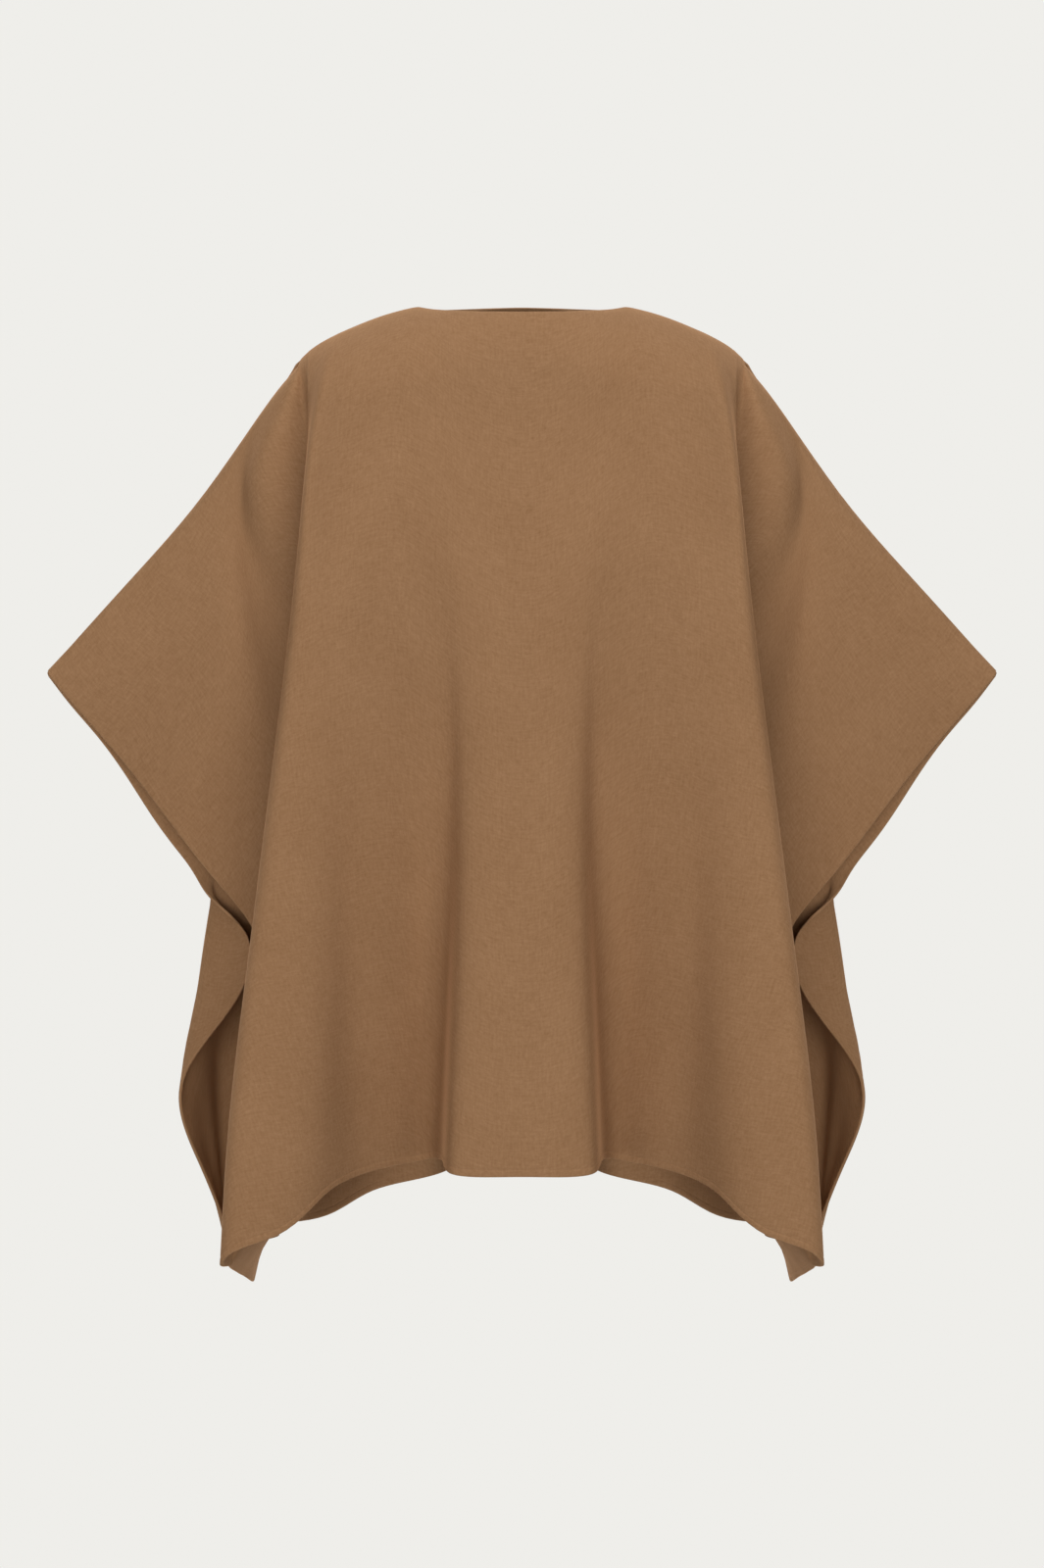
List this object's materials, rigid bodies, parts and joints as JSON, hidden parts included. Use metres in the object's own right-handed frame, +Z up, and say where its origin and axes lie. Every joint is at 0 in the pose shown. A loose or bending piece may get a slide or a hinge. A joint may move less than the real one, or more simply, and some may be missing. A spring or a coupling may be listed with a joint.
{
  "type": "pull-on wool cape",
  "caption": "Pull-on wool cape worn hollow on the shoulders: front and back panel, boat neck, open sides and an uneven, softly folded hem.",
  "frame": {"origin": "midway between the two shoulder neck points, on the shoulder seam, where the wearer's shoulders carry the cape", "axes": "+Z up; -Y toward the front panel, so +Y runs from chest to back through the cape's shallow side; +X along the shoulders to the wearer's left"},
  "size_m": [0.9728, 0.3345, 1.0138],
  "materials": {
    "wool_front": "brushed double-faced wool, matt with a soft short nap",
    "wool_back": "brushed double-faced wool, matt with a soft short nap"
  },
  "bodies": {
    "root": {"front_panel": "wool_front", "back_panel": "wool_back"}
  },
  "joints": []
}
